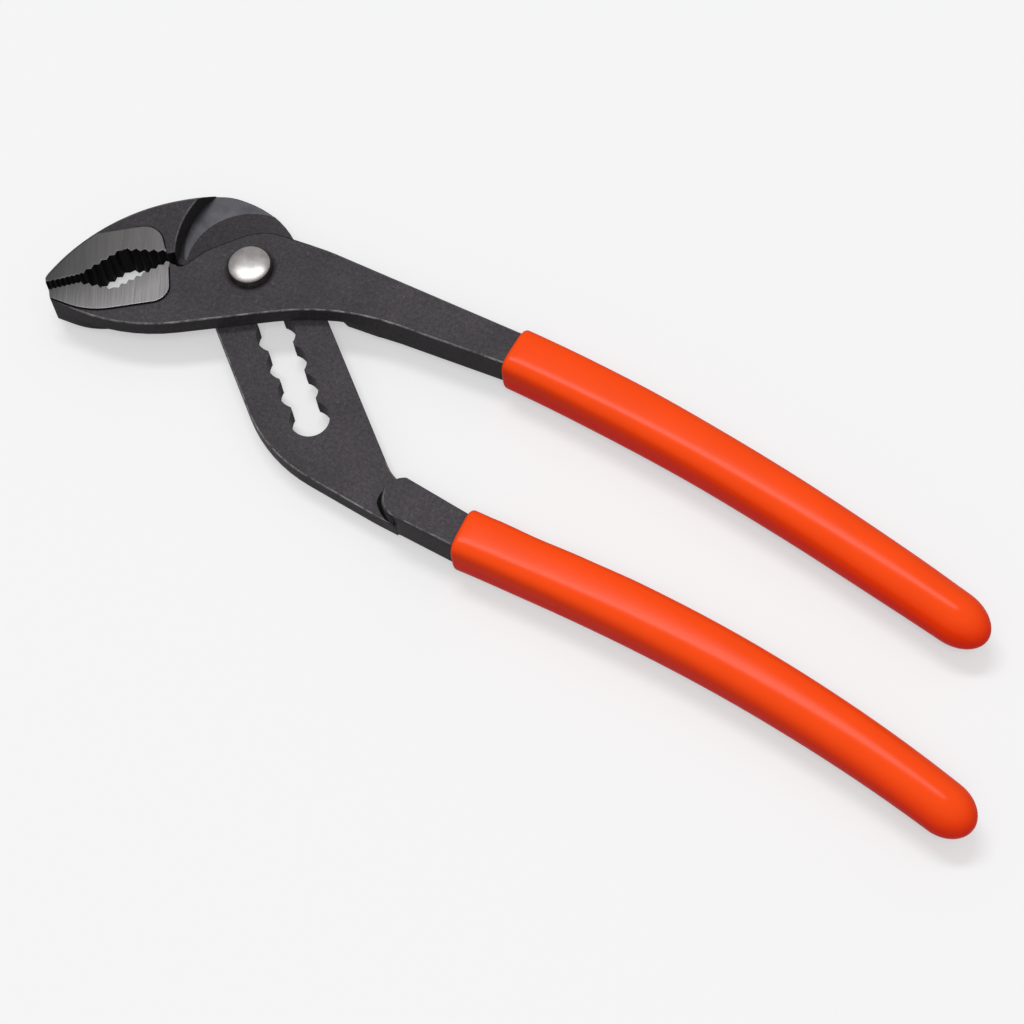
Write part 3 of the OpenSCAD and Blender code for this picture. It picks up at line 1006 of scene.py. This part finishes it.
def gripSleeve(grip, name):
    form = gripForm
    clearSelection()
    radius = form["halfWidth"] * mm
    bpy.ops.mesh.primitive_circle_add(vertices=form["around"], radius=radius, fill_type="NGON")
    piece = bpy.context.object
    piece.name = name
    piece.data.name = name
    bpy.ops.object.mode_set(mode="EDIT")
    bpy.ops.mesh.select_mode(type="EDGE")
    bpy.ops.mesh.select_all(action="SELECT")
    mesh = bmesh.from_edit_mesh(piece.data)
    angle = mesh.verts.layers.float.new("turn")
    for vertex in mesh.verts:
        vertex[angle] = math.atan2(vertex.co.y, vertex.co.x)
    bmesh.update_edit_mesh(piece.data)
    for number, (distance, shift, width, height, power) in enumerate(gripRings(grip)):
        if number:
            bpy.ops.mesh.extrude_edges_move(TRANSFORM_OT_translate={"value": (0, 0, 0)})
        mesh = bmesh.from_edit_mesh(piece.data)
        angle = mesh.verts.layers.float["turn"]
        at, across = handleAt(grip, distance)
        for vertex in mesh.verts:
            if not vertex.select:
                continue
            side, up = math.cos(vertex[angle]), math.sin(vertex[angle])
            out = shift + width * math.copysign(abs(side) ** (2 / power), side)
            rise = height * math.copysign(abs(up) ** (2 / power), up)
            vertex.co = Vector((at.x + across.x * out, at.y + across.y * out, form["middleZ"] + rise)) * mm
        bmesh.update_edit_mesh(piece.data)
    tip, across = handleAt(grip, grip["reach"])
    top, low = trimAt(grip["topTrim"], grip["reach"]), trimAt(grip["lowTrim"], grip["reach"])
    tip = tip + across * (top - low) / 2
    bpy.ops.mesh.extrude_edges_move(TRANSFORM_OT_translate={"value": (0, 0, 0)})
    bpy.ops.mesh.merge(type="CENTER")
    mesh = bmesh.from_edit_mesh(piece.data)
    for vertex in mesh.verts:
        if vertex.select:
            vertex.co = Vector((tip.x, tip.y, form["middleZ"])) * mm
    bmesh.update_edit_mesh(piece.data)
    bpy.ops.mesh.select_all(action="SELECT")
    bpy.ops.mesh.normals_make_consistent(inside=False)
    bpy.ops.object.mode_set(mode="OBJECT")
    piece.data.materials.append(vinyl)
    pick(piece)
    bpy.ops.object.shade_smooth()
    return piece


# every piece with the solid it stands for, the body it rides on and its finish
pieces = (
    (frontArm(), "front_arm", "front_arm", "black_steel"),
    (pivotBolt(), "pivot_bolt", "front_arm", "bolt_steel"),
    (hardwareCopy("pivot_nut", "pivotNut", hardware["nutEdge"]), "pivot_nut", "front_arm", "nut_steel"),
    (gripSleeve(upperGrip, "upperGrip"), "upper_grip", "front_arm", "orange_vinyl"),
    (
        hardwareCopy("pivot_washer", "pivotWasher", hardware["washerEdge"]),
        "pivot_washer", "pivot_washer", "nut_steel",
    ),
    (rearArm(), "rear_arm", "rear_arm", "black_steel"),
    (gripSleeve(lowerGrip, "lowerGrip"), "lower_grip", "rear_arm", "orange_vinyl"),
)
for piece, node, body, finish in pieces:
    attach(piece, body)
    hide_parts(node)
    print("piece:", piece.name, len(piece.data.polygons), "faces")


# floor, light and camera
stageLook = {
    "floorSize": 12.0,
    "floorZ": -0.0001,
    "floorColour": (0.885, 0.885, 0.89),
    "bounceColour": (0.24, 0.24, 0.24),
    "shadowShare": 0.5,
    "room": (0.1, 0.9, 0.12, 0.55),  # the room's light rises between two heights, from low to high
    "backdrop": 0.89,
    "right": (0.9116, 0.4110, 0),
    "away": (-0.4110, 0.9116, 0),
    "target": (0.084, -0.032, 0),
    "boxDistance": 3.0,
    "boxes": {
        "overheadSoftbox": {"lean": 19, "side": -8, "size": (1.5, 0.5), "power": 35, "mirrored": True},
        "frontFill": {"lean": -27, "side": 4, "size": (0.9, 0.9), "power": 29.5, "mirrored": False},
    },
}


def looking(tree):
    # the eye, and what the eye sees in metal or through glass
    path = addNode(tree, "ShaderNodeLightPath")
    found = path.outputs["Is Camera Ray"]
    for ray in ("Is Glossy Ray", "Is Transmission Ray"):
        most = addNode(tree, "ShaderNodeMath", operation="MAXIMUM")
        tree.links.new(found, most.inputs[0])
        tree.links.new(path.outputs[ray], most.inputs[1])
        found = most.outputs[0]
    return found


def makeStage():
    look = stageLook
    clearSelection()
    bpy.ops.mesh.primitive_plane_add(size=look["floorSize"], location=(0, 0, look["floorZ"]))
    floor = bpy.context.object
    floor.name = "floor"
    material = bpy.data.materials.new("paleFloor")
    material.use_nodes = True
    tree = material.node_tree
    tree.nodes.clear()
    seen = addNode(tree, "ShaderNodeBsdfDiffuse")
    seen.inputs["Color"].default_value = (*look["floorColour"], 1)
    glow = addNode(tree, "ShaderNodeEmission")
    glow.inputs["Color"].default_value = (*look["floorColour"], 1)
    dim = addNode(tree, "ShaderNodeBsdfDiffuse")
    dim.inputs["Color"].default_value = (*look["bounceColour"], 1)
    shadow = addNode(tree, "ShaderNodeMixShader")
    shadow.inputs["Fac"].default_value = look["shadowShare"]
    tree.links.new(glow.outputs[0], shadow.inputs[1])
    tree.links.new(seen.outputs[0], shadow.inputs[2])
    chosen = addNode(tree, "ShaderNodeMixShader")
    tree.links.new(looking(tree), chosen.inputs["Fac"])
    tree.links.new(dim.outputs[0], chosen.inputs[1])
    tree.links.new(shadow.outputs[0], chosen.inputs[2])
    output = addNode(tree, "ShaderNodeOutputMaterial")
    tree.links.new(chosen.outputs[0], output.inputs["Surface"])
    floor.data.materials.append(material)

    world = bpy.data.worlds.new("softRoom")
    scene.world = world
    world.use_nodes = True
    tree = world.node_tree
    background = tree.nodes["Background"]
    points = tree.nodes.new("ShaderNodeTexCoord")
    parts = tree.nodes.new("ShaderNodeSeparateXYZ")
    tree.links.new(points.outputs["Generated"], parts.inputs[0])
    height = tree.nodes.new("ShaderNodeMapRange")
    height.interpolation_type = "SMOOTHSTEP"
    for number, value in enumerate(look["room"]):
        height.inputs[number + 1].default_value = value
    tree.links.new(parts.outputs["Z"], height.inputs[0])
    mix = tree.nodes.new("ShaderNodeMix")
    mix.data_type = "FLOAT"
    tree.links.new(height.outputs[0], mix.inputs[2])
    mix.inputs[3].default_value = look["backdrop"]
    tree.links.new(looking(tree), mix.inputs[0])
    tree.links.new(mix.outputs[0], background.inputs["Strength"])
    background.inputs["Color"].default_value = (1, 1, 1, 1)

    right, away, target = Vector(look["right"]), Vector(look["away"]), Vector(look["target"])
    for name, box in look["boxes"].items():
        out = away * math.tan(math.radians(box["lean"])) + right * math.tan(math.radians(box["side"]))
        out = (out + Vector((0, 0, 1))).normalized()
        along = (right - out * right.dot(out)).normalized()
        lamp = bpy.data.lights.new(name, "AREA")
        lamp.shape = "RECTANGLE"
        lamp.size, lamp.size_y = box["size"]
        lamp.energy = box["power"]
        lampObject = bpy.data.objects.new(name, lamp)
        lampObject.visible_glossy = box["mirrored"]
        scene.collection.objects.link(lampObject)
        place = Matrix((along, out.cross(along), out)).transposed().to_4x4()
        place.translation = target + out * look["boxDistance"]
        lampObject.matrix_world = place


cameraLook = {
    "at": (0.26850, -0.31495, 0.63035),
    "right": (0.90858, 0.40957, -0.08206),
    "up": (-0.32847, 0.82191, 0.46537),
    "back": (0.25805, -0.39587, 0.88130),
    "lens": 105.47,
    "sensor": 36,
    "clip": (0.02, 60),
}


def makeCamera():
    look = cameraLook
    data = bpy.data.cameras.new("camera")
    data.sensor_width = look["sensor"]
    data.lens = look["lens"]
    data.clip_start, data.clip_end = look["clip"]
    camera = bpy.data.objects.new("camera", data)
    scene.collection.objects.link(camera)
    place = Matrix((look["right"], look["up"], look["back"])).transposed().to_4x4()
    place.translation = Vector(look["at"])
    camera.matrix_world = place
    scene.camera = camera


makeStage()
makeCamera()
scene.view_settings.view_transform = "Standard"
print("stage and camera made")
